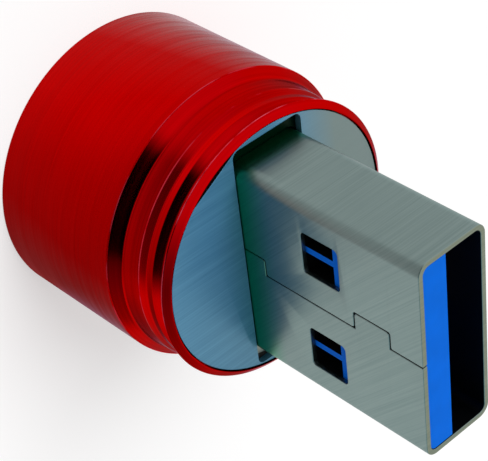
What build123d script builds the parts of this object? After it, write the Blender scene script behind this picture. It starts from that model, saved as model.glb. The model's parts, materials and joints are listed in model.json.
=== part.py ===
from build123d import *

import math
import os

# A short round USB flash drive that stands on its flat rear face.
# Millimetres. +Z runs from the rear face to the tip of the plug, X is the plug's wide
# direction and Y its thickness. The origin is the centre of the rear face.

# ---- barrel -------------------------------------------------------------------------
BARREL_DIAMETER = 16.3
BARREL_LENGTH = 8.6
BARREL_WALL = 0.75
BARREL_END_WALL = 1.2
BARREL_EDGE_BREAK = 0.04

# ---- nose collar, from the barrel's front edge to the lip ------------------------------
NOSE_EDGE_STEP = 0.06        # barrel edge left showing around the collar
SHOULDER_DROP = 0.45         # radial fall of the sloped shoulder
SHOULDER_RISE = 0.6
SHOULDER_RADIUS = 0.3        # where the shoulder turns into the neck
NECK_WIDTH = 1.13            # nearly straight, between the shoulder and the ridge
RIDGE_DROP = 0.1             # the ridge lies this far inside the shoulder
# steps and groove in front of the ridge: distance past the ridge, depth inside it, radius
GROOVE_TURNS = ((0.47, 0.15, 0.25), (0.86, 0.13, 0.06), (1.51, 0.42, 0.25))
RIDGE_TO_LIP = 1.84
CREST_RADIUS = 0.06
LIP_STEP = 0.15              # the lip stands this far outside the ridge
LIP_RISE = 0.33              # from the lip's widest circle to its front face
LIP_WALL = 0.42
LIP_FACE = 0.03              # flat ring left at the very front of the lip
NOSE_WALL = 0.3              # metal left under the groove
SPIGOT_LENGTH = 2.0
SPIGOT_CLEARANCE = 0.03

# ---- front disc and what lies under it -------------------------------------------------
DISC_GAP = 0.08              # radial gap between disc and lip
DISC_THICKNESS = 0.4
DISC_RECESS = 0.06
GASKET_THICKNESS = 0.08
DISC_WEB = 0.08              # metal left between the slot's corners and the rim
SLOT_SIDE_GAP = 0.03         # past the plug's wide faces
SLOT_CORNER_RADIUS = 0.4
DISC_KEY_DEPTH = 0.2         # locating flat on the rim
DISC_KEY_FROM_CORNER = 1.75  # along the rim, from a corner of the slot to the flat's middle
BEZEL_THICKNESS = 0.4
BEZEL_GAP = 0.05             # around the plug

# ---- plug shell ---------------------------------------------------------------------------
PLUG_WIDTH = 12.0
PLUG_HEIGHT = 4.5
PLUG_REACH = 11.75           # from the lip's front plane to the tip
PLUG_SHEET = 0.3
PLUG_CORNER_RADIUS = 0.7
PLUG_EMBED = 1.5             # from the lip's front plane back to the shell's rear end
WINDOW_WIDTH = 2.5
WINDOW_LENGTH = 2.4
WINDOW_SPACING = 6.0
WINDOW_FROM_TIP = 5.16
WINDOW_CORNER_RADIUS = 0.25
SEAM_GAP = 0.07
SEAM_TAB_DEPTH = 1.0         # sideways throw of the interlocking tabs
SEAM_TAB_FROM_TIP = 2.05
SEAM_TAB_LENGTH = 2.3
SEAM_TAB_UNDERCUT = 0.08
SEAM_ROOT_FROM_TIP = 10.4    # where the rear tab starts
LEG_WIDTH = 1.4
LEG_LENGTH = 2.0

# ---- insulators and contacts in the plug -----------------------------------------------------
TONGUE_THICKNESS = 1.85
TONGUE_RECESS = 0.05
TONGUE_SIDE_GAP = 0.04
TONGUE_CHAMFER = 0.3
POCKET_DEPTH = 1.2
POCKET_MARGIN = 0.15
POCKET_FRONT_WEB = 0.6       # left under the front edge of each window
POCKET_RIB = 0.36
HOUSING_LENGTH = 3.4         # block that closes the rear of the plug
HOUSING_GAP = 0.03
CONTACT_THICKNESS = 0.15
CONTACT_SETBACK = 1.2        # from the tip to the front of the flat contacts
FLAT_PAD_WIDTH = 1.0
FLAT_PAD_LENGTH = 6.6
FLAT_TAIL_WIDTH = 0.36
FLAT_PITCH_INNER = 2.0       # between the two middle flat contacts
FLAT_PITCH_OUTER = 7.0       # between the two outer flat contacts
FLAT_TAIL_SHIFT = 0.2        # outer tails run this much nearer the middle
SPRING_PITCH = 2.0
SPRING_COUNT = 5
SPRING_WIDTH = 0.5
SPRING_REACH = 3.0           # free length in front of the housing block
SPRING_LIFT = 0.4
SPRING_CLEARANCE = 0.08      # between the spring and the tongue under it
TAIL_LENGTH = 1.3
CONTACT_SLOT_GAP = 0.03

# ---- circuit board and its components --------------------------------------------------------
BOARD_WIDTH = 12.6
BOARD_THICKNESS = 0.8
BOARD_REAR_GAP = 0.35        # between the board and the barrel's end wall
BOARD_FRONT_GAP = 0.1        # between the board and the plug shell
BOARD_CORNER_RADIUS = 0.5
LEG_SLOT_GAP = 0.06
MEMORY_SIZE = (8.0, 6.5, 1.0)
CONTROLLER_SIZE = (5.0, 5.0, 0.85)
CRYSTAL_SIZE = (3.2, 2.5, 0.75)
INDUCTOR_SIZE = (2.0, 1.6, 0.95)
CAPACITOR_SIZE = (1.0, 0.5, 0.5)
RESISTOR_SIZE = (1.0, 0.5, 0.35)
TERMINAL_LENGTH = 0.22
TERMINAL_PROUD = 0.03
PACKAGE_EDGE = 0.12
PIN_ONE_RADIUS = 0.3
PIN_ONE_DEPTH = 0.08
MEMORY_MARGIN = 0.275        # from the rear of the carrier's pocket
# places on the board: share of its half width, share of its length from the rear to the tails
CONTROLLER_PLACE = (-0.28, 0.46)
CRYSTAL_PLACE = (0.62, 0.66)
INDUCTOR_PLACE = (0.62, 0.3)
UPPER_CAPACITORS_ACROSS = -0.83
LOWER_CAPACITORS_ACROSS = 0.75
CAPACITORS_START = 0.2
CAPACITORS_STEP = 0.26
CAPACITORS_A_SIDE = 3
RESISTORS_ALONG = 0.93
RESISTORS_START = -0.6
RESISTORS_STEP = 0.22
RESISTOR_COUNT = 4

# ---- plastic carrier that holds board and plug --------------------------------------------
CARRIER_GAP = 0.05           # to the barrel's and the collar's bores
CARRIER_SPLIT_GAP = 0.02
POCKET_HEIGHT = 1.25         # room over each side of the board
POCKET_EDGE = 0.5            # board edge gripped by the carrier on each side
BOARD_GAP = 0.04
PEG_RADIUS = 0.22
PEG_LENGTH = 0.6
PEG_GAP = 0.03
PEG_SPACING = 3.0

# ---- levels and radii worked out from the values above ----------------------------------------
barrel_r = BARREL_DIAMETER / 2
barrel_bore_r = barrel_r - BARREL_WALL
nose_base_r = barrel_r - NOSE_EDGE_STEP
shoulder_r = nose_base_r - SHOULDER_DROP
ridge_r = shoulder_r - RIDGE_DROP
nose_bore_r = ridge_r - max(depth for _, depth, _ in GROOVE_TURNS) - NOSE_WALL
lip_r = ridge_r + LIP_STEP
lip_bore_r = lip_r - LIP_WALL
disc_r = lip_bore_r - DISC_GAP
slot_half_y = PLUG_HEIGHT / 2 + SLOT_SIDE_GAP
slot_corner_y = slot_half_y - SLOT_CORNER_RADIUS
slot_corner_x = math.sqrt((disc_r - DISC_WEB - SLOT_CORNER_RADIUS) ** 2 - slot_corner_y ** 2)
slot_half_x = slot_corner_x + SLOT_CORNER_RADIUS

nose_z = BARREL_LENGTH
ridge_z = nose_z + SHOULDER_RISE + NECK_WIDTH
lip_crest_z = ridge_z + RIDGE_TO_LIP
front_z = lip_crest_z + LIP_RISE
spigot_z = nose_z - SPIGOT_LENGTH
disc_z = front_z - DISC_RECESS - DISC_THICKNESS
ledge_z = disc_z - GASKET_THICKNESS
bezel_z = ledge_z - BEZEL_THICKNESS

tip_z = front_z + PLUG_REACH
shell_z = front_z - PLUG_EMBED
window_z = tip_z - WINDOW_FROM_TIP - WINDOW_LENGTH
tongue_z = shell_z + HOUSING_GAP
housing_front_z = shell_z + HOUSING_LENGTH
wall_y = PLUG_HEIGHT / 2 - PLUG_SHEET
wall_x = PLUG_WIDTH / 2 - PLUG_SHEET
tongue_top_y = TONGUE_THICKNESS - wall_y
flat_z = tip_z - CONTACT_SETBACK

board_top_y = tongue_top_y - CONTACT_THICKNESS
board_low_y = board_top_y - BOARD_THICKNESS
board_mid_y = (board_top_y + board_low_y) / 2
board_z = BARREL_END_WALL + BOARD_REAR_GAP
board_front_z = shell_z - BOARD_FRONT_GAP
leg_z = shell_z - LEG_LENGTH
tail_z = board_front_z - TAIL_LENGTH
pocket_z = board_z + POCKET_EDGE

carrier_z = BARREL_END_WALL + CARRIER_GAP
carrier_step_z = spigot_z - CARRIER_GAP
carrier_front_z = bezel_z - CARRIER_GAP
carrier_r = barrel_bore_r - CARRIER_GAP
carrier_neck_r = nose_bore_r - CARRIER_GAP


# ---- helpers ------------------------------------------------------------------------------

def block(x0, x1, y0, y1, z0, z1):
    """Box between two corners."""
    centre = Pos((x0 + x1) / 2, (y0 + y1) / 2, (z0 + z1) / 2)
    return centre * Box(x1 - x0, y1 - y0, z1 - z0)


def rod(radius, z0, z1):
    """Cylinder on the Z axis."""
    return Pos(0, 0, (z0 + z1) / 2) * Cylinder(radius, z1 - z0)


def column(width, height, radius, z0, z1):
    """Rounded rectangle in plan, extruded along Z."""
    outline = Plane.XY.offset(z0) * RectangleRounded(width, height, radius)
    return extrude(outline, z1 - z0)


def strip(path, x, width, thickness):
    """Bent sheet strip: path gives (y, z) of its lower surface, x its middle."""
    lower = [(x, y, z) for y, z in path]
    upper = [(x, y + thickness, z) for y, z in reversed(path)]
    outline = make_face(Polyline(*lower, *upper, close=True))
    return extrude(outline, width / 2, dir=(1, 0, 0), both=True)


def circles_at(body, radius, z):
    """Edges round the Z axis with this radius at this height."""
    circles = body.edges().filter_by(GeomType.CIRCLE)
    return [edge for edge in circles if abs(edge.radius - radius) < 1e-4 and abs(edge.center().Z - z) < 1e-4]


# ---- housing --------------------------------------------------------------------------------

def barrel():
    """Turned cup, open at the front."""
    body = rod(barrel_r, 0, BARREL_LENGTH)
    body = chamfer(body.edges().filter_by(GeomType.CIRCLE), BARREL_EDGE_BREAK)
    return body - rod(barrel_bore_r, BARREL_END_WALL, BARREL_LENGTH + 1)


def nose_collar():
    """Turned collar: spigot, sloped shoulder, neck, ridge, groove and the lip round the disc."""
    spigot_r = barrel_bore_r - SPIGOT_CLEARANCE
    face_r = lip_bore_r + LIP_FACE
    turns = [
        (shoulder_r, nose_z + SHOULDER_RISE, SHOULDER_RADIUS),
        (ridge_r, ridge_z, CREST_RADIUS),
        *[(ridge_r - depth, ridge_z + ahead, radius) for ahead, depth, radius in GROOVE_TURNS],
        (lip_r, lip_crest_z, CREST_RADIUS),
    ]
    outline = Polyline(
        (nose_bore_r, 0, spigot_z),
        (spigot_r, 0, spigot_z),
        (spigot_r, 0, nose_z),
        (nose_base_r, 0, nose_z),
        *[(x, 0, z) for x, z, _ in turns],
        (face_r, 0, front_z),
        (lip_bore_r, 0, front_z),
        (lip_bore_r, 0, ledge_z),
        (nose_bore_r, 0, ledge_z),
        close=True,
    )
    collar = revolve(make_face(outline), Axis.Z)
    for x, z, radius in turns:
        collar = fillet(circles_at(collar, x, z), radius)
    return collar


def front_disc():
    """Brushed plate with a slot that nearly reaches its rim, and a locating flat beside it."""
    disc = rod(disc_r, disc_z, disc_z + DISC_THICKNESS)
    disc -= column(2 * slot_half_x, 2 * slot_half_y, SLOT_CORNER_RADIUS, disc_z - 1, front_z + 1)
    key = Pos(disc_r, 0, disc_z) * Box(2 * DISC_KEY_DEPTH, disc_r, 4 * DISC_THICKNESS)
    corner_angle = math.atan2(-slot_corner_y, -slot_corner_x)
    key_angle = math.degrees(corner_angle + DISC_KEY_FROM_CORNER / disc_r)
    return disc - Rot(0, 0, key_angle) * key


def disc_gasket():
    """Thin bonding ring between the disc and the collar's ledge."""
    ring = rod(lip_bore_r - CARRIER_GAP, ledge_z, disc_z)
    return ring - rod(nose_bore_r, ledge_z - 1, disc_z + 1)


def slot_bezel():
    """Steel plate that closes the space around the plug under the disc."""
    plate = rod(carrier_neck_r, bezel_z, disc_z)
    opening_width = PLUG_WIDTH + 2 * BEZEL_GAP
    opening_height = PLUG_HEIGHT + 2 * BEZEL_GAP
    return plate - column(opening_width, opening_height, PLUG_CORNER_RADIUS, bezel_z - 1, disc_z + 1)


# ---- plug -------------------------------------------------------------------------------------

def seam():
    """Cutter for the rolled shell's joint: a narrow slit with two interlocking tabs."""
    tab_front_z = tip_z - SEAM_TAB_FROM_TIP
    tab_rear_z = tab_front_z - SEAM_TAB_LENGTH
    root_z = tip_z - SEAM_ROOT_FROM_TIP
    path = [
        (0, tip_z + SEAM_GAP),
        (0, tab_front_z - SEAM_TAB_UNDERCUT / 2),
        (-SEAM_TAB_DEPTH, tab_front_z + SEAM_TAB_UNDERCUT / 2),
        (-SEAM_TAB_DEPTH, tab_rear_z - SEAM_TAB_UNDERCUT),
        (0, tab_rear_z + SEAM_TAB_UNDERCUT),
        (0, root_z - SEAM_TAB_UNDERCUT / 2),
        (-SEAM_TAB_DEPTH, root_z + SEAM_TAB_UNDERCUT / 2),
        (-SEAM_TAB_DEPTH, shell_z - SEAM_GAP),
    ]
    cutter = Part()
    for (x0, z0), (x1, z1) in zip(path, path[1:]):
        run = math.hypot(x1 - x0, z1 - z0) + SEAM_GAP
        tilt = math.degrees(math.atan2(x1 - x0, z1 - z0))
        middle = Pos((x0 + x1) / 2, -PLUG_HEIGHT / 2, (z0 + z1) / 2)
        cutter += middle * Rot(0, tilt, 0) * Box(SEAM_GAP, 3 * PLUG_SHEET, run)
    return cutter


def plug_shell():
    """Folded steel shell with four windows, a seam and two solder legs."""
    shell = column(PLUG_WIDTH, PLUG_HEIGHT, PLUG_CORNER_RADIUS, shell_z, tip_z)
    for side in (-1, 1):
        outer_x = side * PLUG_WIDTH / 2
        inner_x = side * wall_x
        x0, x1 = sorted((outer_x, inner_x))
        leg_mid_y = board_mid_y
        shell += block(x0, x1, leg_mid_y - LEG_WIDTH / 2, leg_mid_y + LEG_WIDTH / 2, leg_z, shell_z)
    inner_radius = PLUG_CORNER_RADIUS - PLUG_SHEET
    shell -= column(2 * wall_x, 2 * wall_y, inner_radius, leg_z - 1, tip_z + 1)
    window = extrude(
        Plane.XZ.offset(-PLUG_HEIGHT) * RectangleRounded(WINDOW_WIDTH, WINDOW_LENGTH, WINDOW_CORNER_RADIUS),
        2 * PLUG_HEIGHT,
    )
    for side in (-1, 1):
        shell -= Pos(side * WINDOW_SPACING / 2, 0, window_z + WINDOW_LENGTH / 2) * window
    return shell - seam()


def flat_contact_places():
    """Middle of each flat contact's pad, and of its narrower tail."""
    places = []
    for side in (-1, 1):
        places.append((side * FLAT_PITCH_INNER / 2, side * FLAT_PITCH_INNER / 2))
        outer = side * FLAT_PITCH_OUTER / 2
        places.append((outer, outer - side * FLAT_TAIL_SHIFT))
    return sorted(places)


def spring_places():
    """Middle of each spring contact."""
    middle = (SPRING_COUNT - 1) / 2
    return [(index - middle) * SPRING_PITCH for index in range(SPRING_COUNT)]


def flat_contact(pad_x, tail_x, margin=0.0):
    """Flat contact let into the tongue; a margin makes the slot that takes it."""
    low_y = board_top_y
    top_y = tongue_top_y + 2 * margin
    pad_z = flat_z - FLAT_PAD_LENGTH
    pad_half = FLAT_PAD_WIDTH / 2 + margin
    tail_half = FLAT_TAIL_WIDTH / 2 + margin
    pad = block(pad_x - pad_half, pad_x + pad_half, low_y, top_y, pad_z - margin, flat_z + margin)
    tail = block(tail_x - tail_half, tail_x + tail_half, low_y, top_y, tail_z, pad_z)
    return pad + tail


def spring_contact(x):
    """Spring contact: board tail, run through the housing, free arm with a raised bend."""
    run_y = tongue_top_y + SPRING_CLEARANCE
    arm_z = housing_front_z + SPRING_REACH
    path = [
        (board_top_y, tail_z),
        (board_top_y, board_front_z),
        (run_y, shell_z + HOUSING_GAP),
        (run_y, housing_front_z),
        (run_y + SPRING_LIFT, arm_z - SPRING_LIFT),
        (run_y + SPRING_LIFT / 2, arm_z),
    ]
    return strip(path, x, SPRING_WIDTH, CONTACT_THICKNESS)


def tongue():
    """Insulating tongue with slots for the flat contacts and pockets behind the windows."""
    half = wall_x - TONGUE_SIDE_GAP
    front = tip_z - TONGUE_RECESS
    body = block(-half, half, -wall_y, tongue_top_y, tongue_z, front)
    low_edges = body.edges().filter_by(Axis.Z).group_by(Axis.Y)[0]
    body = fillet(low_edges, PLUG_CORNER_RADIUS - PLUG_SHEET)
    front_edge = body.edges().filter_by(Axis.X).group_by(Axis.Y)[-1].sort_by(Axis.Z)[-1]
    body = chamfer(front_edge, TONGUE_CHAMFER)
    for pad_x, tail_x in flat_contact_places():
        body -= flat_contact(pad_x, tail_x, CONTACT_SLOT_GAP)
    pocket_half = WINDOW_WIDTH / 2 + POCKET_MARGIN
    pocket_top = window_z + WINDOW_LENGTH - POCKET_FRONT_WEB
    for side in (-1, 1):
        middle = side * WINDOW_SPACING / 2
        for x0, x1 in ((-pocket_half, -POCKET_RIB / 2), (POCKET_RIB / 2, pocket_half)):
            body -= block(
                middle + x0, middle + x1,
                -wall_y - 1, POCKET_DEPTH - wall_y,
                window_z - POCKET_MARGIN, pocket_top,
            )
    return body


def contact_housing():
    """Block above the tongue that holds the spring contacts and closes the shell's rear."""
    half = wall_x - TONGUE_SIDE_GAP
    top = wall_y - HOUSING_GAP
    body = block(-half, half, tongue_top_y, top, tongue_z, housing_front_z)
    top_edges = body.edges().filter_by(Axis.Z).group_by(Axis.Y)[-1]
    body = fillet(top_edges, PLUG_CORNER_RADIUS - PLUG_SHEET)
    channel_half = SPRING_WIDTH / 2 + CONTACT_SLOT_GAP
    channel_y = tongue_top_y + SPRING_CLEARANCE + CONTACT_THICKNESS
    for x in spring_places():
        body -= block(
            x - channel_half, x + channel_half,
            tongue_top_y - 1, channel_y,
            tongue_z - 1, housing_front_z + 1,
        )
    return body


# ---- circuit board ----------------------------------------------------------------------------

def circuit_board():
    """Board with rounded rear corners and side slots for the shell's legs."""
    half = BOARD_WIDTH / 2
    board = block(-half, half, board_low_y, board_top_y, board_z, board_front_z)
    rear_corners = board.edges().filter_by(Axis.Y).group_by(Axis.Z)[0]
    board = fillet(rear_corners, BOARD_CORNER_RADIUS)
    neck_half = wall_x - LEG_SLOT_GAP
    for side in (-1, 1):
        x0, x1 = sorted((side * neck_half, side * (half + 1)))
        board -= block(x0, x1, board_low_y - 1, board_top_y + 1, leg_z - LEG_SLOT_GAP, board_front_z + 1)
    return board


def on_board(side, x, z, size):
    """Location of a component's seat: side 1 is the board's upper face, -1 its lower face."""
    face_y = board_top_y if side > 0 else board_low_y
    return Pos(x, face_y + side * size[2] / 2, z)


def package(side, x, z, size):
    """Moulded chip package with eased edges and a pin-one dimple."""
    width, length, height = size
    body = on_board(side, x, z, size) * Box(width, height, length)
    outer = body.faces().sort_by(Axis.Y)[-1 if side > 0 else 0]
    body = chamfer(outer.edges(), PACKAGE_EDGE)
    dimple_y = outer.center().Y
    inset = 3 * PIN_ONE_RADIUS
    dimple = Pos(x - width / 2 + inset, dimple_y, z - length / 2 + inset) * Rot(90, 0, 0)
    return body - dimple * Cylinder(PIN_ONE_RADIUS, 2 * PIN_ONE_DEPTH)


def two_terminal(side, x, z, size, upright=False):
    """Chip capacitor or resistor: a body between two slightly proud terminals."""
    length, width, height = size
    body = Box(length - 2 * TERMINAL_LENGTH, height - 2 * TERMINAL_PROUD, width - 2 * TERMINAL_PROUD)
    for end in (-1, 1):
        cap = Box(TERMINAL_LENGTH, height, width)
        body += Pos(end * (length - TERMINAL_LENGTH) / 2, 0, 0) * cap
    turn = Rot(0, 90 if upright else 0, 0)
    return on_board(side, x, z, size) * turn * body


def crystal():
    """Metal-lidded crystal: a stepped lid on a ceramic base."""
    width, length, height = CRYSTAL_SIZE
    x, z = board_place(*CRYSTAL_PLACE)
    lid_height = height / 3
    lid_inset = 2 * PACKAGE_EDGE
    base = on_board(1, x, z, CRYSTAL_SIZE) * Box(width, height, length)
    trim = block(-width, width, board_top_y + height - lid_height, board_top_y + 2 * height, 0, tip_z)
    opening = Pos(x, board_top_y + height, z) * Box(width - lid_inset, 2 * height, length - lid_inset)
    return base - (trim.moved(Pos(x, 0, 0)) - opening)


def board_place(across, along):
    """Point on the board: across runs -1 to 1 over its width, along 0 to 1 up to the tails."""
    return across * BOARD_WIDTH / 2, board_z + along * (tail_z - board_z)


def components():
    """Everything soldered to the board, by node name."""
    parts = {}
    memory_z = pocket_z + MEMORY_MARGIN + MEMORY_SIZE[1] / 2
    parts["flash_memory"] = package(-1, 0, memory_z, MEMORY_SIZE)
    parts["controller"] = package(1, *board_place(*CONTROLLER_PLACE), CONTROLLER_SIZE)
    parts["crystal"] = crystal()
    parts["inductor"] = two_terminal(1, *board_place(*INDUCTOR_PLACE), INDUCTOR_SIZE)
    number = 0
    for side, across in ((1, UPPER_CAPACITORS_ACROSS), (-1, LOWER_CAPACITORS_ACROSS)):
        for row in range(CAPACITORS_A_SIDE):
            number += 1
            x, z = board_place(across, CAPACITORS_START + CAPACITORS_STEP * row)
            parts[f"capacitor_{number}"] = two_terminal(side, x, z, CAPACITOR_SIZE, upright=True)
    for index in range(RESISTOR_COUNT):
        x, z = board_place(RESISTORS_START + RESISTORS_STEP * index, RESISTORS_ALONG)
        parts[f"resistor_{index + 1}"] = two_terminal(1, x, z, RESISTOR_SIZE)
    return parts


# ---- carrier ------------------------------------------------------------------------------------

def carrier_body():
    """Both halves in one: a stepped cylinder hollowed out for the board, legs and plug."""
    body = rod(carrier_r, carrier_z, carrier_step_z)
    body += rod(carrier_neck_r, carrier_step_z, carrier_front_z)
    half = BOARD_WIDTH / 2 + BOARD_GAP
    low_y = board_low_y - BOARD_GAP
    top_y = board_top_y + BOARD_GAP
    body -= block(-half, half, low_y, top_y, board_z - BOARD_GAP, shell_z)
    room = half - POCKET_EDGE
    body -= block(-room, room, low_y - POCKET_HEIGHT, top_y + POCKET_HEIGHT, pocket_z, shell_z)
    plug_half_x = PLUG_WIDTH / 2 + BEZEL_GAP
    leg_half_y = LEG_WIDTH / 2 + BEZEL_GAP
    leg_y = board_mid_y
    body -= block(-plug_half_x, plug_half_x, leg_y - leg_half_y, leg_y + leg_half_y, leg_z - BOARD_GAP, shell_z)
    socket_width = PLUG_WIDTH + 2 * BEZEL_GAP
    socket_height = PLUG_HEIGHT + 2 * BEZEL_GAP
    socket_z = shell_z - BOARD_GAP
    return body - column(socket_width, socket_height, PLUG_CORNER_RADIUS, socket_z, carrier_front_z + 1)


def pegs(radius, length):
    """Locating pegs on the split plane, beside the board."""
    x = (BOARD_WIDTH / 2 + BOARD_GAP + carrier_r) / 2
    middle_z = (carrier_z + carrier_step_z) / 2
    group = Part()
    for side in (-1, 1):
        for end in (-1, 1):
            place = Pos(side * x, board_mid_y, middle_z + end * PEG_SPACING / 2)
            group += place * Rot(90, 0, 0) * Cylinder(radius, 2 * length)
    return group


def carrier_halves():
    """Lower half with pegs and upper half with their holes."""
    body = carrier_body()
    reach = 2 * carrier_r
    split_low = board_mid_y - CARRIER_SPLIT_GAP / 2
    split_top = board_mid_y + CARRIER_SPLIT_GAP / 2
    lower = body & block(-reach, reach, -reach, split_low, 0, tip_z)
    upper = body & block(-reach, reach, split_top, reach, 0, tip_z)
    above = block(-reach, reach, split_low, reach, 0, tip_z)
    lower += pegs(PEG_RADIUS, PEG_LENGTH) & above
    upper -= pegs(PEG_RADIUS + PEG_GAP, PEG_LENGTH + PEG_GAP)
    return lower, upper


# ---- all nodes ------------------------------------------------------------------------------

def all_nodes():
    """Every sub-part by node name."""
    lower, upper = carrier_halves()
    nodes = {
        "barrel": barrel(),
        "nose_collar": nose_collar(),
        "front_disc": front_disc(),
        "disc_gasket": disc_gasket(),
        "slot_bezel": slot_bezel(),
        "plug_shell": plug_shell(),
        "tongue": tongue(),
        "contact_housing": contact_housing(),
        "circuit_board": circuit_board(),
        "carrier_lower": lower,
        "carrier_upper": upper,
    }
    for index, (pad_x, tail_x) in enumerate(flat_contact_places(), start=1):
        nodes[f"flat_contact_{index}"] = flat_contact(pad_x, tail_x)
    for index, x in enumerate(spring_places(), start=1):
        nodes[f"spring_contact_{index}"] = spring_contact(x)
    nodes.update(components())
    return nodes


os.makedirs("parts", exist_ok=True)
for name, solid in all_nodes().items():
    export_step(solid, f"parts/{name}.step")
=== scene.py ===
import json
import math

import bmesh
import bpy
from mathutils import Matrix, Vector


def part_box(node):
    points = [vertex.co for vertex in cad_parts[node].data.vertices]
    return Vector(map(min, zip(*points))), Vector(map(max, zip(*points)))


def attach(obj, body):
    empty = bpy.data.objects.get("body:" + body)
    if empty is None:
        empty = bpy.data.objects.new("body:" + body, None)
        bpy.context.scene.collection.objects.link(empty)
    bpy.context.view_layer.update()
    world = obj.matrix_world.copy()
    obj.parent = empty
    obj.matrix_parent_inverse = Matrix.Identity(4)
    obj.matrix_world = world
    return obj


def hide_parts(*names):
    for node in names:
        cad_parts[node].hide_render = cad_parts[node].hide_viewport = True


# A short round USB flash drive, standing on its flat rear face. Lengths are in metres.
# +Z runs from the rear face to the tip of the plug, and the plug's seam faces -Y.

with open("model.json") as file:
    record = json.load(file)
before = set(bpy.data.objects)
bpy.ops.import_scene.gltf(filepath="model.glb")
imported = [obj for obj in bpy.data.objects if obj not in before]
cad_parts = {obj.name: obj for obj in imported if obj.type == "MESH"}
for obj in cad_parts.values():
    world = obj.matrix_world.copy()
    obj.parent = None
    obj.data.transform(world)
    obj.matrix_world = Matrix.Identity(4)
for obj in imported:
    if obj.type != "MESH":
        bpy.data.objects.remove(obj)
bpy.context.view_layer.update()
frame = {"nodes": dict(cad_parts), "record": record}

MM = 0.001

# ---- sizes read from the frame -------------------------------------------------------------------
_, barrel_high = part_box("barrel")
collar_low, collar_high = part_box("nose_collar")
disc_low, disc_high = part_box("front_disc")
gasket_low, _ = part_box("disc_gasket")
shell_low, shell_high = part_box("plug_shell")
board_low, board_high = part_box("circuit_board")

barrel_r = barrel_high.x
barrel_z = barrel_high.z
spigot_z = collar_low.z
front_z = collar_high.z
disc_r = disc_high.x
ledge_z = gasket_low.z
plug_x = shell_high.x
plug_y = shell_high.y
tip_z = shell_high.z
leg_z = shell_low.z
board_mid_y = (board_low.y + board_high.y) / 2

# ---- sizes of the turned pieces ------------------------------------------------------------------
BARREL_WALL = 0.75 * MM
BARREL_END_WALL = 1.2 * MM
BARREL_EDGE = 0.04 * MM
NOSE_EDGE_STEP = 0.06 * MM
SHOULDER_DROP = 0.45 * MM
SHOULDER_RISE = 0.6 * MM
SHOULDER_EASE = 0.3 * MM
RIDGE_DROP = 0.1 * MM
NECK_WIDTH = 1.13 * MM
# Each turn of the groove: its distance past the ridge, its depth inside the ridge and its radius.
GROOVE_TURNS = (
    (0.47 * MM, 0.15 * MM, 0.25 * MM),
    (0.86 * MM, 0.13 * MM, 0.06 * MM),
    (1.51 * MM, 0.42 * MM, 0.25 * MM),
)
RIDGE_TO_LIP = 1.84 * MM
LIP_STEP = 0.15 * MM
LIP_WALL = 0.42 * MM
LIP_FACE = 0.03 * MM
NOSE_WALL = 0.3 * MM
SPIGOT_GAP = 0.03 * MM
POLISH_SPACING = 0.02 * MM
POLISH_PASSES = 8
AXIS_R = 0.0001 * MM
TURNED_SEGMENTS = 256

ridge_z = barrel_z + SHOULDER_RISE + NECK_WIDTH

# ---- sizes of the disc ---------------------------------------------------------------------------
DISC_WEB = 0.08 * MM
SLOT_SIDE_GAP = 0.03 * MM
SLOT_CORNER = 0.4 * MM
DISC_FLAT_DEPTH = 0.2 * MM
DISC_FLAT_FROM_CORNER = 1.75 * MM
DISC_EDGE = 0.03 * MM

# ---- sizes of the plug ---------------------------------------------------------------------------
SHEET = 0.3 * MM
SHEET_EDGE = 0.045 * MM
PLUG_CORNER = 0.7 * MM
PLUG_EMBED = 1.5 * MM
WINDOW_WIDTH = 2.5 * MM
WINDOW_LENGTH = 2.4 * MM
WINDOW_OFFSET = 3.0 * MM
WINDOW_FROM_TIP = 5.16 * MM
WINDOW_CORNER = 0.25 * MM
POCKET_DEPTH = 1.2 * MM
POCKET_MARGIN = 0.15 * MM
SKIN = 0.02 * MM
SEAM_GAP = 0.07 * MM
SEAM_TAB_DEPTH = 1.0 * MM
SEAM_TAB_FROM_TIP = 2.05 * MM
SEAM_TAB_LENGTH = 2.3 * MM
SEAM_ROOT_FROM_TIP = 10.4 * MM
SEAM_CORNER = 0.14 * MM
LEG_WIDTH = 1.4 * MM
BEND_STEPS = 12
WELD_DISTANCE = 0.0002 * MM

window_high_z = tip_z - WINDOW_FROM_TIP
window_low_z = window_high_z - WINDOW_LENGTH

# The shell's sheet laid flat: x runs round the plug from the seam, and y is the height.
flat_x = 2 * (plug_x - PLUG_CORNER)
flat_y = 2 * (plug_y - PLUG_CORNER)
bend = PLUG_CORNER * math.pi / 2
around = 2 * flat_x + 2 * flat_y + 4 * bend

# ---- reach of the painted base shade and of the painted crest highlights -------------------------
PAINTED_SHADE_REACH = 2.4 * MM
PAINTED_SHADE_REACH_NARROW = 1.1 * MM
HIGHLIGHT_LINE_WIDTH = 0.02 * MM

# ---- camera --------------------------------------------------------------------------------------
CAMERA_AZIMUTH = math.radians(-51.24)     # from -Y towards -X is negative
CAMERA_ELEVATION = math.radians(37.9)
CAMERA_ROLL = math.radians(119.98)
CAMERA_DISTANCE = 87.15 * MM
CAMERA_AIM = Vector((-0.543, -0.891, 10.864)) * MM
CAMERA_LENS = 126.3                       # millimetres
CAMERA_SENSOR = 36                        # millimetres


def direction(azimuth, elevation):
    """Unit vector towards a place seen from the object: azimuth 0 is -Y, -90 degrees is -X."""
    level = math.cos(elevation)
    return Vector((math.sin(azimuth) * level, -math.cos(azimuth) * level, math.sin(elevation)))


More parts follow.
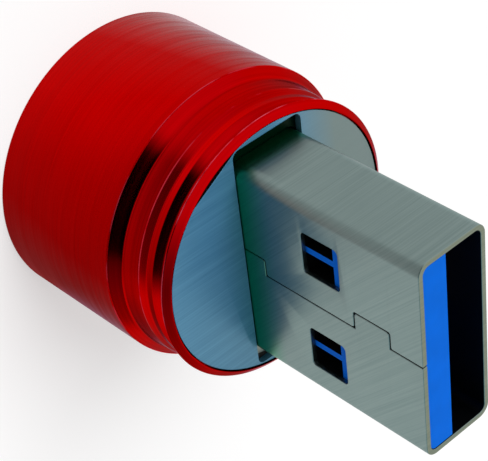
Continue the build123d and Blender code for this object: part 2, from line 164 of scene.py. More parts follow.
def make_camera():
    """Camera looking at CAMERA_AIM, turned about its own axis by CAMERA_ROLL."""
    back = direction(CAMERA_AZIMUTH, CAMERA_ELEVATION)
    data = bpy.data.cameras.new("camera")
    data.lens = CAMERA_LENS
    data.sensor_width = CAMERA_SENSOR
    data.clip_start = 1 * MM
    data.clip_end = 10
    camera = bpy.data.objects.new("camera", data)
    bpy.context.scene.collection.objects.link(camera)
    roll = Matrix.Rotation(CAMERA_ROLL, 3, "Z").to_quaternion()
    camera.rotation_mode = "QUATERNION"
    camera.rotation_quaternion = back.to_track_quat("Z", "Y") @ roll
    camera.location = CAMERA_AIM + back * CAMERA_DISTANCE
    bpy.context.scene.camera = camera


# ---- node helpers --------------------------------------------------------------------------------

def srgb(red, green, blue):
    """Linear RGBA of a colour given as display values from 0 to 255."""
    def linear(value):
        value /= 255
        return value / 12.92 if value <= 0.04045 else ((value + 0.055) / 1.055) ** 2.4
    return (linear(red), linear(green), linear(blue), 1.0)


class Tree:
    """A node tree with short calls for the nodes used here."""

    def __init__(self, tree):
        self.nodes = tree.nodes
        self.links = tree.links

    def node(self, kind, inputs=None, **settings):
        made = self.nodes.new(kind)
        for key, value in settings.items():
            setattr(made, key, value)
        for key, value in (inputs or {}).items():
            self.feed(made.inputs[key], value)
        return made

    def feed(self, socket, value):
        if isinstance(value, bpy.types.NodeSocket):
            self.links.new(value, socket)
        else:
            socket.default_value = value

    def math(self, operation, first, second=0.0):
        return self.node("ShaderNodeMath", {0: first, 1: second}, operation=operation).outputs[0]

    def dot(self, first, second):
        made = self.node("ShaderNodeVectorMath", {0: first, 1: second}, operation="DOT_PRODUCT")
        return made.outputs["Value"]

    def place(self):
        """Where a point of the surface is, in metres."""
        return self.node("ShaderNodeTexCoord").outputs["Object"]

    def axes(self, vector):
        """The outputs X, Y and Z of a vector."""
        return self.node("ShaderNodeSeparateXYZ", {0: vector}).outputs

    def span(self, value, low, high, at_low=0.0, at_high=1.0, interpolation="LINEAR"):
        """The value's way from low to high, given as a number from at_low to at_high."""
        inputs = {0: value, 1: low, 2: high, 3: at_low, 4: at_high}
        return self.node("ShaderNodeMapRange", inputs, interpolation_type=interpolation).outputs[0]

    def ramp(self, factor, stops, interpolation="LINEAR"):
        """Colour ramp: stops are (position, value or colour)."""
        made = self.node("ShaderNodeValToRGB", {"Fac": factor})
        made.color_ramp.interpolation = interpolation
        elements = made.color_ramp.elements
        while len(elements) < len(stops):
            elements.new(0.5)
        for element, (position, colour) in zip(elements, stops):
            element.position = position
            element.color = colour if isinstance(colour, tuple) else (colour, colour, colour, 1)
        return made.outputs["Color"]

    def mix(self, factor, first, second, blend="MIX"):
        made = self.node("ShaderNodeMix", data_type="RGBA", blend_type=blend)
        self.feed(made.inputs["Factor"], factor)
        self.feed(made.inputs[6], first)
        self.feed(made.inputs[7], second)
        return made.outputs[2]

    def noise(self, vector, scale, detail=2.0, roughness=0.5):
        inputs = {"Vector": vector, "Scale": scale, "Detail": detail, "Roughness": roughness}
        return self.node("ShaderNodeTexNoise", inputs).outputs["Fac"]

    def streaks(self, scales, lean=0.0):
        """Noise in long thin lines, by scales along X, Y and Z and a lean about Y."""
        turned = self.node("ShaderNodeMapping", {"Vector": self.place(), "Rotation": (0, lean, 0)})
        scaled = self.node("ShaderNodeMapping", {"Vector": turned.outputs[0], "Scale": scales})
        return self.noise(scaled.outputs[0], 1.0, 3.0, 0.6)


def new_material(name):
    """Material with its node tree and its shader."""
    material = bpy.data.materials.new(name)
    material.use_nodes = True
    tree = Tree(material.node_tree)
    return material, tree, tree.nodes["Principled BSDF"]


def bump(tree, shader, height, distance):
    """Raises the surface by the height times the distance, in metres."""
    made = tree.node("ShaderNodeBump", {"Height": height, "Distance": distance, "Strength": 1.0})
    tree.feed(shader.inputs["Normal"], made.outputs[0])


# ---- materials -----------------------------------------------------------------------------------

WHITE = (1, 1, 1, 1)
BLACK = (0, 0, 0, 1)
RED = srgb(197, 0, 3)
RED_DEEP = srgb(178, 0, 2)
NOSE_RED = srgb(196, 0, 6)
NOSE_RED_DEEP = srgb(168, 0, 4)
RED_EDGE = (0.45, 0.1, 0.16, 1)
# Pale pink of the painted highlight lines along the turned crests.
PAINTED_HIGHLIGHT_PINK = srgb(216, 76, 98)
COAT_TINT = (0.85, 0.8, 1.0, 1)
STEEL = srgb(136, 153, 150)
STEEL_DARK = srgb(121, 139, 137)
STEEL_EDGE = (0.7, 0.75, 0.75, 1)
# Dark green multiplied in as painted shade at the plug's base.
PAINTED_BASE_SHADE = (0.03, 1.0, 0.42, 1)
# Painted light on the disc: blue on the seam's side, warmer grey on the +Y side; painted shade on its rim
# wall.
DISC_PAINTED_BLUE = srgb(93, 153, 192)
DISC_PAINTED_BLUE_DARK = srgb(76, 135, 176)
DISC_PAINTED_WARM = srgb(118, 140, 146)
RIM_PAINTED_SHADE = srgb(18, 22, 26)
# Near-black painted shade on the bezel's -X end.
BEZEL_PAINTED_SHADE = srgb(6, 32, 24)


def brushed(name, light, dark, edge, scales, roughness, line_depth, lean=0.0, metallic=1.0):
    """Brushed metal: long thin streaks that vary colour, roughness and height."""
    material, tree, shader = new_material(name)
    lines = tree.streaks(scales, lean)
    cloud = tree.noise(tree.place(), 300.0, 2.0)
    shade = tree.math("ADD", tree.math("MULTIPLY", lines, 0.85), tree.math("MULTIPLY", cloud, 0.15))
    tone = tree.ramp(shade, [(0.35, 0.0), (0.65, 1.0)])
    colour = tree.mix(tone, dark, light)
    tree.feed(shader.inputs["Base Color"], colour)
    shader.inputs["Metallic"].default_value = metallic
    shader.inputs["Specular Tint"].default_value = edge
    smooth, rough = roughness
    tree.feed(shader.inputs["Roughness"], tree.ramp(tone, [(0.0, smooth), (1.0, rough)]))
    bump(tree, shader, lines, line_depth)
    return material, tree, shader, colour


def sheen_coat(tree, shader, strength, roughness, scales):
    """Clear oxide skin that shows at a low angle only, broken up by the brushing."""
    facing = tree.node("ShaderNodeLayerWeight", {"Blend": 0.5}).outputs["Facing"]
    rise = tree.ramp(facing, [(0.3, 0.0), (0.5, 0.06 * strength), (0.64, 0.35 * strength), (0.9, strength)])
    broken = tree.ramp(tree.streaks(scales), [(0.35, 0.55), (0.6, 1.0)])
    tree.feed(shader.inputs["Coat Weight"], tree.math("MULTIPLY", rise, broken))
    shader.inputs["Coat Roughness"].default_value = roughness
    shader.inputs["Coat IOR"].default_value = 1.9
    shader.inputs["Coat Tint"].default_value = COAT_TINT


def painted_crest_highlight(tree, crest):
    """Painted highlight: a patchy pale line along a turned crest at this height."""
    place = tree.place()
    z = tree.axes(place)["Z"]
    rise = tree.span(z, crest - 2 * HIGHLIGHT_LINE_WIDTH, crest - HIGHLIGHT_LINE_WIDTH)
    fall = tree.span(z, crest + HIGHLIGHT_LINE_WIDTH, crest + 2 * HIGHLIGHT_LINE_WIDTH, 1.0, 0.0)
    patches = tree.ramp(tree.noise(place, 500.0, 3.0), [(0.42, 0.0), (0.6, 1.0)])
    return tree.math("MULTIPLY", tree.math("MULTIPLY", rise, fall), patches)


def barrel_red():
    """Brushed round its axis, with a pale haze at low angles and a painted highlight along its front rim.
    """
    material, tree, shader, colour = brushed(
        "barrel_red", RED, RED_DEEP, RED_EDGE,
        scales=(130, 130, 9000), roughness=(0.28, 0.4), line_depth=0.006 * MM)
    sheen_coat(tree, shader, 1.0, 0.3, (90, 90, 5000))
    crest_highlight = tree.math("MULTIPLY", painted_crest_highlight(tree, barrel_z), 0.5)
    tree.feed(shader.inputs["Base Color"], tree.mix(crest_highlight, colour, PAINTED_HIGHLIGHT_PINK))
    return material


def nose_red():
    """Turned and polished, with painted highlight lines along the ridge and the lip, made less metallic
    there.
    """
    material, tree, shader, colour = brushed(
        "nose_red", NOSE_RED, NOSE_RED_DEEP, RED_EDGE,
        scales=(60, 60, 6000), roughness=(0.14, 0.2), line_depth=0.0004 * MM)
    sheen_coat(tree, shader, 0.08, 0.2, (60, 60, 6000))
    ridge_highlight = tree.math("MULTIPLY", painted_crest_highlight(tree, ridge_z), 0.4)
    crest_highlight = tree.math("ADD", ridge_highlight, painted_crest_highlight(tree, ridge_z + RIDGE_TO_LIP))
    tree.feed(shader.inputs["Base Color"], tree.mix(crest_highlight, colour, PAINTED_HIGHLIGHT_PINK))
    tree.feed(shader.inputs["Metallic"], tree.math("SUBTRACT", 1.0, tree.math("MULTIPLY", crest_highlight, 0.7)))
    return material


def disc_steel():
    """Satin brushed face with painted light: bluish on the seam's side, a warmer grey on the +Y side, and
    its outer rim wall painted dark as shade.
    """
    material, tree, shader, colour = brushed(
        "disc_steel", DISC_PAINTED_BLUE, DISC_PAINTED_BLUE_DARK, STEEL_EDGE,
        scales=(12000, 130, 130), roughness=(0.36, 0.44), line_depth=0.002 * MM, metallic=0.5)
    place = tree.place()
    # Painted light: the blue of the seam's side turns to a warmer grey towards +Y.
    painted_warm_side = tree.span(tree.axes(place)["Y"], plug_y / 2, 2 * plug_y)
    colour = tree.mix(painted_warm_side, colour, DISC_PAINTED_WARM)
    # Painted shade: the outer rim wall, in the gap to the lip, is painted dark.
    normal = tree.node("ShaderNodeNewGeometry").outputs["True Normal"]
    outward = tree.dot(normal, place)
    flatness = tree.math("ABSOLUTE", tree.axes(normal)["Z"])
    upright = tree.math("LESS_THAN", flatness, 0.7)
    rim = tree.math("MULTIPLY", upright, tree.math("GREATER_THAN", outward, 0.0))
    tree.feed(shader.inputs["Base Color"], tree.mix(rim, colour, RIM_PAINTED_SHADE))
    return material


def shell_steel():
    """Fine diagonal brushing, with dark-green painted shade at the base of the -X and -Y faces."""
    material, tree, shader, colour = brushed(
        "shell_steel", STEEL, STEEL_DARK, STEEL_EDGE,
        scales=(14000, 110, 110), roughness=(0.3, 0.35), line_depth=0.0015 * MM, lean=math.radians(45))
    axes = tree.axes(tree.place())
    # Painted shade: darker green towards the disc, reaching less far up the -X face, strongest on the -X
    # and -Y faces.
    shade_end = tree.span(
        axes["X"], -plug_x, -plug_x + PLUG_CORNER, front_z + PAINTED_SHADE_REACH_NARROW, front_z + PAINTED_SHADE_REACH)
    share_x = tree.math("DIVIDE", axes["X"], plug_x)
    share_y = tree.math("DIVIDE", axes["Y"], plug_y)
    strength = tree.span(tree.math("ADD", share_x, share_y), 0.05, 0.6, 1.0, 0.25)
    base_shade = tree.span(axes["Z"], front_z, shade_end, strength, 0.0, "SMOOTHSTEP")
    tree.feed(shader.inputs["Base Color"], tree.mix(base_shade, colour, PAINTED_BASE_SHADE, "MULTIPLY"))
    return material


def darker(colour, level):
    """The colour with its channels multiplied by the level."""
    return tuple(channel * level for channel in colour[:3]) + (1.0,)


def moulded(name, colour, roughness, grain, specular=0.5):
    """Moulded plastic with a fine grain and slightly uneven gloss."""
    material, tree, shader = new_material(name)
    fine = tree.noise(tree.place(), 9000.0, 3.0)
    broad = tree.noise(tree.place(), 700.0, 2.0)
    tree.feed(shader.inputs["Base Color"], tree.mix(broad, darker(colour, 0.8), colour))
    tree.feed(shader.inputs["Roughness"], tree.ramp(fine, [(0.0, roughness), (1.0, roughness + 0.12)]))
    shader.inputs["Specular IOR Level"].default_value = specular
    bump(tree, shader, fine, grain)
    return material


def worn_metal(name, colour, roughness):
    """Plain drawn or plated metal with faint wear."""
    material, tree, shader = new_material(name)
    wear = tree.noise(tree.place(), 2500.0, 3.0)
    mottled = tree.mix(wear, darker(colour, 0.75), colour)
    tree.feed(shader.inputs["Base Color"], mottled)
    shader.inputs["Metallic"].default_value = 1.0
    tree.feed(shader.inputs["Roughness"], tree.ramp(wear, [(0.0, roughness), (1.0, roughness + 0.15)]))
    return material, tree, shader, mottled


def metal(name, colour, roughness):
    """The same, where only the material is needed."""
    return worn_metal(name, colour, roughness)[0]


def bezel_steel():
    """Plain sheet; the end of the slot on the -X side is painted nearly black as shade."""
    material, tree, shader, colour = worn_metal("bezel_steel", srgb(140, 158, 164), 0.35)
    # Painted shade on the -X half.
    shaded_end = tree.math("LESS_THAN", tree.axes(tree.place())["X"], 0.0)
    tree.feed(shader.inputs["Base Color"], tree.mix(shaded_end, colour, BEZEL_PAINTED_SHADE))
    return material


MATERIALS = {
    "barrel_red": barrel_red(),
    "nose_red": nose_red(),
    "disc_steel": disc_steel(),
    "shell_steel": shell_steel(),
    "tongue_blue": moulded("tongue_blue", srgb(0, 110, 232), 0.5, 0.001 * MM, 0.05),
    "black_plastic": moulded("black_plastic", srgb(6, 7, 10), 0.4, 0.002 * MM, 0.3),
    "gasket": moulded("gasket", srgb(8, 8, 9), 0.6, 0.002 * MM),
    "contact_metal": metal("contact_metal", srgb(165, 135, 75), 0.3),
    "bezel_steel": bezel_steel(),
    "board": moulded("board", srgb(10, 62, 34), 0.3, 0.001 * MM),
    "chip": moulded("chip", srgb(22, 22, 24), 0.5, 0.002 * MM),
    "crystal_can": metal("crystal_can", srgb(190, 190, 185), 0.2),
    "passive": moulded("passive", srgb(150, 112, 80), 0.4, 0.001 * MM),
    # Dark metal painted as shade on the inner face of the plug's sheet.
    "shell_inside": metal("shell_inside", srgb(34, 38, 42), 0.4),
}


def finish_with(obj, slot):
    """Gives a piece one material. Empty lists aren't cleared, since that resets the faces' indices."""
    if obj.data.materials:
        obj.data.materials.clear()
    obj.data.materials.append(MATERIALS[slot])


# ---- mesh helpers --------------------------------------------------------------------------------

def add_object(name, mesh, smooth_angle):
    """Object with smooth faces and sharp edges past the angle, in degrees."""
    mesh.polygons.foreach_set("use_smooth", [True] * len(mesh.polygons))
    mesh.set_sharp_from_angle(angle=math.radians(smooth_angle))
    obj = bpy.data.objects.new(name, mesh)
    bpy.context.scene.collection.objects.link(obj)
    return obj


def place_piece(obj, node, slot):
    """Puts a finished piece in the place of its CAD node."""
    finish_with(obj, slot)
    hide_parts(node)
    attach(obj, "root")


def turned(name, profile):
    """Closed ring made by turning a closed (radius, height) profile about Z."""
    count = len(profile)
    vertices = []
    for step in range(TURNED_SEGMENTS):
        angle = 2 * math.pi * step / TURNED_SEGMENTS
        vertices += [(r * math.cos(angle), r * math.sin(angle), z) for r, z in profile]
    faces = []
    for step in range(TURNED_SEGMENTS):
        here = step * count
        there = (step + 1) % TURNED_SEGMENTS * count
        for index in range(count):
            after = (index + 1) % count
            faces.append((here + index, there + index, there + after, here + after))
    mesh = bpy.data.meshes.new(name)
    mesh.from_pydata(vertices, [], faces)
    return add_object(name, mesh, 40)


def round_corners(corners, steps=5):
    """Polygon with each (x, y, radius) corner rounded by an arc; radius 0 keeps it sharp."""
    points = []
    count = len(corners)
    for index, (x, y, radius) in enumerate(corners):
        here = Vector((x, y))
        if radius == 0:
            points.append(here)
            continue
        before = (Vector(corners[index - 1][:2]) - here).normalized()
        after = (Vector(corners[(index + 1) % count][:2]) - here).normalized()
        half = before.angle(after) / 2
        middle = here + (before + after).normalized() * radius / math.sin(half)
        start = here + before * radius / math.tan(half) - middle
        end = here + after * radius / math.tan(half) - middle
        turn = start.angle_signed(end)
        for step in range(steps + 1):
            swing = Matrix.Rotation(-turn * step / steps, 2)
            points.append(middle + swing @ start)
    return points


def rounded_rectangle(left, right, low, high, radius):
    """Outline of a rectangle, anticlockwise from its lower left corner."""
    corners = ((left, low), (right, low), (right, high), (left, high))
    return round_corners([(x, y, radius) for x, y in corners])


def polished(points):
    """Open line resampled at an even spacing and eased, as polishing eases its corners."""
    even = [points[0]]
    for start, end in zip(points, points[1:]):
        pieces = max(1, round((end - start).length / POLISH_SPACING))
        even += [start.lerp(end, step / pieces) for step in range(1, pieces + 1)]
    for _ in range(POLISH_PASSES):
        inner = [(a + 2 * b + c) / 4 for a, b, c in zip(even, even[1:], even[2:])]
        even = [even[0], *inner, even[-1]]
    return even


# ---- turned pieces -------------------------------------------------------------------------------

def make_barrel():
    """Cup with its open end up, closed by the rear wall."""
    bore = barrel_r - BARREL_WALL
    corners = [
        (AXIS_R, 0, 0),
        (barrel_r, 0, BARREL_EDGE),
        (barrel_r, barrel_z, BARREL_EDGE),
        (bore, barrel_z, 0),
        (bore, BARREL_END_WALL, 0),
        (AXIS_R, BARREL_END_WALL, 0),
    ]
    place_piece(turned("barrel_cup", round_corners(corners)), "barrel", "barrel_red")


def make_collar():
    """Ring with a spigot inside the barrel, then shoulder, neck, ridge, groove and lip."""
    base_r = barrel_r - NOSE_EDGE_STEP
    shoulder_r = base_r - SHOULDER_DROP
    ridge_r = shoulder_r - RIDGE_DROP
    lip_r = ridge_r + LIP_STEP
    lip_bore = lip_r - LIP_WALL
    bore = ridge_r - max(depth for _, depth, _ in GROOVE_TURNS) - NOSE_WALL
    spigot_r = barrel_r - BARREL_WALL - SPIGOT_GAP
    outside = round_corners([
        (base_r, barrel_z, 0),
        (shoulder_r, barrel_z + SHOULDER_RISE, SHOULDER_EASE),
        (ridge_r, ridge_z, 0),
        *[(ridge_r - depth, ridge_z + ahead, radius) for ahead, depth, radius in GROOVE_TURNS],
        (lip_r, ridge_z + RIDGE_TO_LIP, 0),
        (lip_bore + LIP_FACE, front_z, 0),
    ])
    profile = [
        (bore, spigot_z),
        (spigot_r, spigot_z),
        (spigot_r, barrel_z),
        *polished(outside),
        (lip_bore, front_z),
        (lip_bore, ledge_z),
        (bore, ledge_z),
    ]
    place_piece(turned("collar_turning", profile), "nose_collar", "nose_red")


# ---- plate and sheet pieces ----------------------------------------------------------------------

def plate(outlines, thickness, edge):
    """Mesh of a flat plate with holes and eased edges, centred on z = 0."""
    curve = bpy.data.curves.new("outline", "CURVE")
    curve.dimensions = "2D"
    curve.fill_mode = "BOTH"
    curve.extrude = thickness / 2 - edge
    curve.bevel_depth = edge
    curve.bevel_resolution = 3
    curve.offset = -edge
    for outline in outlines:
        spline = curve.splines.new("POLY")
        spline.points.add(len(outline) - 1)
        for point, place in zip(spline.points, outline):
            point.co = (place.x, place.y, 0, 1)
        spline.use_cyclic_u = True
    holder = bpy.data.objects.new("outline", curve)
    bpy.context.scene.collection.objects.link(holder)
    bpy.context.view_layer.update()
    mesh = bpy.data.meshes.new_from_object(holder.evaluated_get(bpy.context.evaluated_depsgraph_get()))
    bpy.data.objects.remove(holder)
    bpy.data.curves.remove(curve)
    built = bmesh.new()
    built.from_mesh(mesh)
    bmesh.ops.remove_doubles(built, verts=built.verts, dist=WELD_DISTANCE)
    built.to_mesh(mesh)
    built.free()
    return mesh


def make_disc():
    """Plate with the plug's slot, and a flat on its rim near the slot's -X -Y corner."""
    half_y = plug_y + SLOT_SIDE_GAP
    corner_y = half_y - SLOT_CORNER
    corner_x = math.sqrt((disc_r - DISC_WEB - SLOT_CORNER) ** 2 - corner_y ** 2)
    half_x = corner_x + SLOT_CORNER
    slot = rounded_rectangle(-half_x, half_x, -half_y, half_y, SLOT_CORNER)
    flat_angle = math.atan2(-corner_y, -corner_x) + DISC_FLAT_FROM_CORNER / disc_r
    flat_half = math.acos(1 - DISC_FLAT_DEPTH / disc_r)
    round_part = 2 * (math.pi - flat_half)
    rim = []
    for step in range(TURNED_SEGMENTS + 1):
        angle = flat_angle + flat_half + round_part * step / TURNED_SEGMENTS
        rim.append(Vector((disc_r * math.cos(angle), disc_r * math.sin(angle))))
    mesh = plate([rim, slot], disc_high.z - disc_low.z, DISC_EDGE)
    mesh.transform(Matrix.Translation((0, 0, (disc_low.z + disc_high.z) / 2)))
    place_piece(add_object("disc_plate", mesh, 12), "front_disc", "disc_steel")


def seam_side(side, inner_corner):
    """One edge of the seam from tip to rear: side is +1 or -1 by where the sheet lies."""
    offset = side * SEAM_GAP / 2
    tab_front = tip_z - SEAM_TAB_FROM_TIP
    tab_rear = tab_front - SEAM_TAB_LENGTH
    root = tip_z - SEAM_ROOT_FROM_TIP
    return [
        (offset, tip_z, SHEET_EDGE),
        (offset, tab_front - offset, inner_corner),
        (offset - SEAM_TAB_DEPTH, tab_front - offset, SEAM_CORNER),
        (offset - SEAM_TAB_DEPTH, tab_rear + offset, SEAM_CORNER),
        (offset, tab_rear + offset, inner_corner),
        (offset, root - offset, inner_corner),
        (offset - SEAM_TAB_DEPTH, root - offset, SEAM_CORNER),
        (offset - SEAM_TAB_DEPTH, front_z - PLUG_EMBED, 0),
    ]


def flat_outline():
    """Outline of the flat sheet: the seam's two edges, the tip and the two legs at the rear."""
    rear_z = front_z - PLUG_EMBED
    side_middle = flat_x / 2 + bend + flat_y / 2
    legs = []
    for middle in (around - side_middle - board_mid_y, side_middle + board_mid_y):
        start = middle + LEG_WIDTH / 2
        end = middle - LEG_WIDTH / 2
        legs += [(start, rear_z, 0), (start, leg_z, 0), (end, leg_z, 0), (end, rear_z, 0)]
    near = seam_side(1, 0)
    far = [(x + around, z, corner) for x, z, corner in seam_side(-1, SEAM_CORNER)]
    return round_corners(near[::-1] + far + legs)


def flat_windows():
    """Outlines of the two windows on each wide face of the flat sheet."""
    windows = []
    for middle in (0, around / 2, around):
        for centre in (middle - WINDOW_OFFSET, middle + WINDOW_OFFSET):
            if 0 < centre < around:
                left = centre - WINDOW_WIDTH / 2
                right = centre + WINDOW_WIDTH / 2
                windows.append(rounded_rectangle(left, right, window_low_z, window_high_z, WINDOW_CORNER))
    return windows


def make_shell():
    """The sheet is cut flat, divided along its bends, and folded round the plug."""
    mesh = plate([flat_outline(), *flat_windows()], SHEET, SHEET_EDGE)
    built = bmesh.new()
    built.from_mesh(mesh)
    start = flat_x / 2
    for flat in (flat_y, flat_x, flat_y, flat_x / 2):
        for step in range(BEND_STEPS + 1):
            cut = Vector((start + bend * step / BEND_STEPS, 0, 0))
            geometry = built.verts[:] + built.edges[:] + built.faces[:]
            bmesh.ops.bisect_plane(built, geom=geometry, dist=1e-9, plane_co=cut, plane_no=(1, 0, 0))
        start += bend + flat
    for face in built.faces:
        face.material_index = sheet_shade_index(face)
    for vertex in built.verts:
        vertex.co = folded(vertex.co)
    bmesh.ops.recalc_face_normals(built, faces=built.faces)
    built.to_mesh(mesh)
    built.free()
    shell = add_object("shell_sheet", mesh, 12)
    place_piece(shell, "plug_shell", "shell_steel")
    # Painted shade: the dark gasket material on the seam's cut walls and the dark shell_inside metal on the
    # sheet's inner face.
    shell.data.materials.append(MATERIALS["gasket"])
    shell.data.materials.append(MATERIALS["shell_inside"])


def sheet_shade_index(face):
    """Material of a face of the flat sheet: 1 on the seam's cut walls, 2 on the inner face, else 0; 1 and 2
    are dark materials painted as shade.
    """
    middle = face.calc_center_median()
    beside_seam = min(abs(middle.x), abs(middle.x - around)) < 1.5 * SEAM_TAB_DEPTH
    between_ends = front_z < middle.y < tip_z - SHEET
    upright = abs(face.normal.z) < 0.3
    if beside_seam and between_ends and upright:
        return 1
    return 2 if middle.z < -0.49 * SHEET else 0


def folded(point):
    """Place on the folded shell of a point on the flat sheet."""
    depth = SHEET / 2 - point.z
    along = point.x - flat_x / 2
    heading = Vector((1, 0))
    outward = Vector((0, -1))
    here = Vector((flat_x / 2, -plug_y)) + heading * min(along, 0)
    for flat in (flat_y, flat_x, flat_y, math.inf):
        if along <= 0:
            break
        centre = here - outward * PLUG_CORNER
        swing = Matrix.Rotation(min(along, bend) / PLUG_CORNER, 2)
        heading = swing @ heading
        outward = swing @ outward
        here = centre + outward * PLUG_CORNER + heading * min(max(along - bend, 0), flat)
        along -= bend + flat
    spot = here - outward * depth
    return Vector((spot.x, spot.y, point.y))


# ---- carried-over nodes --------------------------------------------------------------------------

def dress_nodes():
    """Every CAD node gets its slot's material; the nodes remade below are hidden by place_piece."""
    slots = {part["node"]: part["material_slot"] for part in frame["record"]["subparts"]}
    for name, obj in frame["nodes"].items():
        finish_with(obj, slots[name])
    paint_pocket_shade(frame["nodes"]["tongue"])


def paint_pocket_shade(tongue):
    """The faces inside the tongue's pockets behind the windows get black plastic as painted shade; the ribs
    between them stay blue.
    """
    tongue.data.materials.append(MATERIALS["black_plastic"])
    front_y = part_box("tongue")[0].y + SKIN
    low_z = window_low_z - POCKET_MARGIN - SKIN
    half_width = WINDOW_WIDTH / 2 + 2 * POCKET_MARGIN
    for polygon in tongue.data.polygons:
        centre = tongue.matrix_world @ polygon.center
        beside_window = abs(abs(centre.x) - WINDOW_OFFSET) < half_width and low_z < centre.z < window_high_z
        if beside_window and front_y < centre.y < front_y + POCKET_DEPTH:
            polygon.material_index = 1


# ---- surroundings --------------------------------------------------------------------------------

BLUE_ZONE = direction(math.radians(51), math.radians(35))
WARM_ZONE = direction(math.radians(129), math.radians(35))
BLUE_TINT = (0.5, 0.85, 1.0, 1)
WARM_TINT = (1.0, 0.86, 0.68, 1)
AMBIENT = (0.45, 0.45, 0.45, 1)
FLOOR_GLOW = 0.45
FLOOR_COLOUR = (0.6, 0.6, 0.6, 1)
FLOOR_RADIUS = 2.0
NEAR_FLOOR = 120 * MM
KEY_STRENGTH = 2.0
KEY_DIRECTION = direction(math.radians(-100), math.radians(52))
KEY_ANGLE = math.radians(40)


def share(degrees):
    """An angle from +X towards +Y as a share of a full turn, as `compass` gives it."""
    return (degrees + 180) / 360


def reach(distance):
    """A distance from the object's axis as a share of NEAR_FLOOR."""
    return distance / NEAR_FLOOR


def compass(tree, towards):
    """Share of a full turn of a direction: 0 at -X, 0.25 at -Y, 0.5 at +X, 0.75 at +Y."""
    axes = tree.axes(towards)
    angle = tree.math("ARCTAN2", axes["Y"], axes["X"])
    return tree.span(angle, -math.pi, math.pi)


def make_world():
    """Pale surroundings with an unlit room on the -Y side, seen only in reflections."""
    world = bpy.data.worlds.new("studio")
    bpy.context.scene.world = world
    world.use_nodes = True
    tree = Tree(world.node_tree)
    towards = tree.node("ShaderNodeTexCoord").outputs["Generated"]
    sky = WHITE
    for zone, tint in ((BLUE_ZONE, BLUE_TINT), (WARM_ZONE, WARM_TINT)):
        nearness = tree.ramp(tree.dot(towards, tuple(zone)), [(0.5, 0.0), (0.85, 1.0)], "EASE")
        sky = tree.mix(nearness, sky, tint)
    # Unlit in the middle, with a short end towards -X and a slow one towards +X.
    room = tree.ramp(compass(tree, towards), [
        (share(-168), 1.0),
        (share(-152), 0.0),
        (share(-76), 0.0),
        (share(-71), 0.25),
        (share(-45), 0.6),
        (share(-10), 0.9),
        (share(30), 1.0),
    ])
    below_its_top = tree.ramp(tree.axes(towards)["Z"], [(0.66, 1.0), (0.8, 0.0)])
    reflected = tree.mix(1.0, sky, tree.mix(below_its_top, WHITE, room), "MULTIPLY")
    rays = tree.node("ShaderNodeLightPath").outputs
    lit = tree.mix(rays["Is Glossy Ray"], AMBIENT, reflected)
    plain = tree.math("MAXIMUM", rays["Is Camera Ray"], rays["Is Transmission Ray"])
    tree.feed(tree.nodes["Background"].inputs["Color"], tree.mix(plain, lit, WHITE))


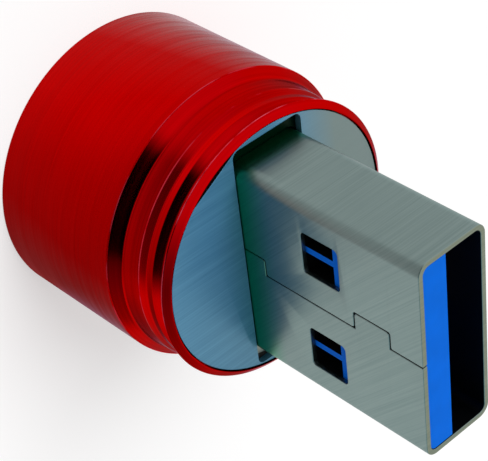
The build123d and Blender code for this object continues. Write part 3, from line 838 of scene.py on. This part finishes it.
def floor_in_reflections(tree):
    """Level of the floor as reflections see it, by compass and by distance from the object."""
    place = tree.place()
    around_object = compass(tree, place)
    length = tree.node("ShaderNodeVectorMath", {0: place}, operation="LENGTH").outputs["Value"]
    off_axis = tree.math("DIVIDE", length, NEAR_FLOOR)

    # The -X side: a little darker away from the object.
    plug_side = tree.ramp(around_object, [
        (share(-168), 1.0),
        (share(-152), 0.0),
        (share(110), 0.0),
        (share(140), 1.0),
    ])
    plug_level = tree.ramp(off_axis, [(reach(19.8 * MM), 1.0), (reach(23.4 * MM), 0.78)])
    level = tree.mix(plug_side, WHITE, plug_level)

    # The -Y side, before the unlit room: a dark ring, a light one for the plug's bends, then dark.
    room_side = tree.ramp(around_object, [
        (share(-168), 0.0),
        (share(-152), 1.0),
        (share(-76), 1.0),
        (share(-58), 0.0),
    ])
    room_level = tree.ramp(off_axis, [
        (reach(19.8 * MM), 1.0),
        (reach(23.4 * MM), 0.3),
        (reach(27.0 * MM), 0.3),
        (reach(30.0 * MM), 0.85),
        (reach(39.6 * MM), 0.85),
        (reach(54.0 * MM), 0.2),
        (reach(NEAR_FLOOR), 0.1),
    ])
    level = tree.mix(room_side, level, room_level)

    # Beside the object: a red glow on the -Y side, and faint blue at +X and +Y.
    beside = tree.ramp(around_object, [
        (share(-150), WHITE),
        (share(-120), (1, 0.3, 0.3, 1)),
        (share(-95), (1, 0.05, 0.05, 1)),
        (share(-50), (0.74, 0.04, 0.04, 1)),
        (share(-30), (0.7, 0.3, 0.5, 1)),
        (share(0), (0.9, 0.85, 1, 1)),
        (share(60), WHITE),
        (share(90), (0.75, 0.8, 1, 1)),
        (share(150), WHITE),
    ])
    near = tree.ramp(off_axis, [(reach(19.2 * MM), 1.0), (reach(24.0 * MM), 0.0)])
    return tree.mix(near, level, beside)


def make_floor():
    """Plain pale floor; only reflections see its painted levels."""
    mesh = bpy.data.meshes.new("floor")
    built = bmesh.new()
    bmesh.ops.create_circle(built, cap_ends=True, segments=96, radius=FLOOR_RADIUS)
    built.to_mesh(mesh)
    built.free()
    floor = bpy.data.objects.new("floor", mesh)
    bpy.context.scene.collection.objects.link(floor)
    material, tree, shader = new_material("pale_floor")
    rays = tree.node("ShaderNodeLightPath").outputs
    level = tree.mix(rays["Is Glossy Ray"], WHITE, floor_in_reflections(tree))
    seen = tree.math("MAXIMUM", rays["Is Camera Ray"], rays["Is Glossy Ray"])
    seen = tree.math("MAXIMUM", seen, rays["Is Transmission Ray"])
    tree.feed(shader.inputs["Base Color"], tree.mix(level, BLACK, FLOOR_COLOUR))
    tree.feed(shader.inputs["Emission Color"], level)
    tree.feed(shader.inputs["Emission Strength"], tree.math("MULTIPLY", seen, FLOOR_GLOW))
    shader.inputs["Roughness"].default_value = 1.0
    shader.inputs["Specular IOR Level"].default_value = 0.0
    mesh.materials.append(material)


def make_key_light():
    """Soft sun that isn't seen in reflections."""
    data = bpy.data.lights.new("key", "SUN")
    data.energy = KEY_STRENGTH
    data.angle = KEY_ANGLE
    light = bpy.data.objects.new("key", data)
    light.visible_glossy = False
    bpy.context.scene.collection.objects.link(light)
    light.rotation_mode = "QUATERNION"
    light.rotation_quaternion = KEY_DIRECTION.to_track_quat("Z", "Y")


make_camera()
make_world()
make_floor()
make_key_light()
dress_nodes()
make_barrel()
make_collar()
make_disc()
make_shell()

bpy.context.scene.view_settings.view_transform = "Standard"
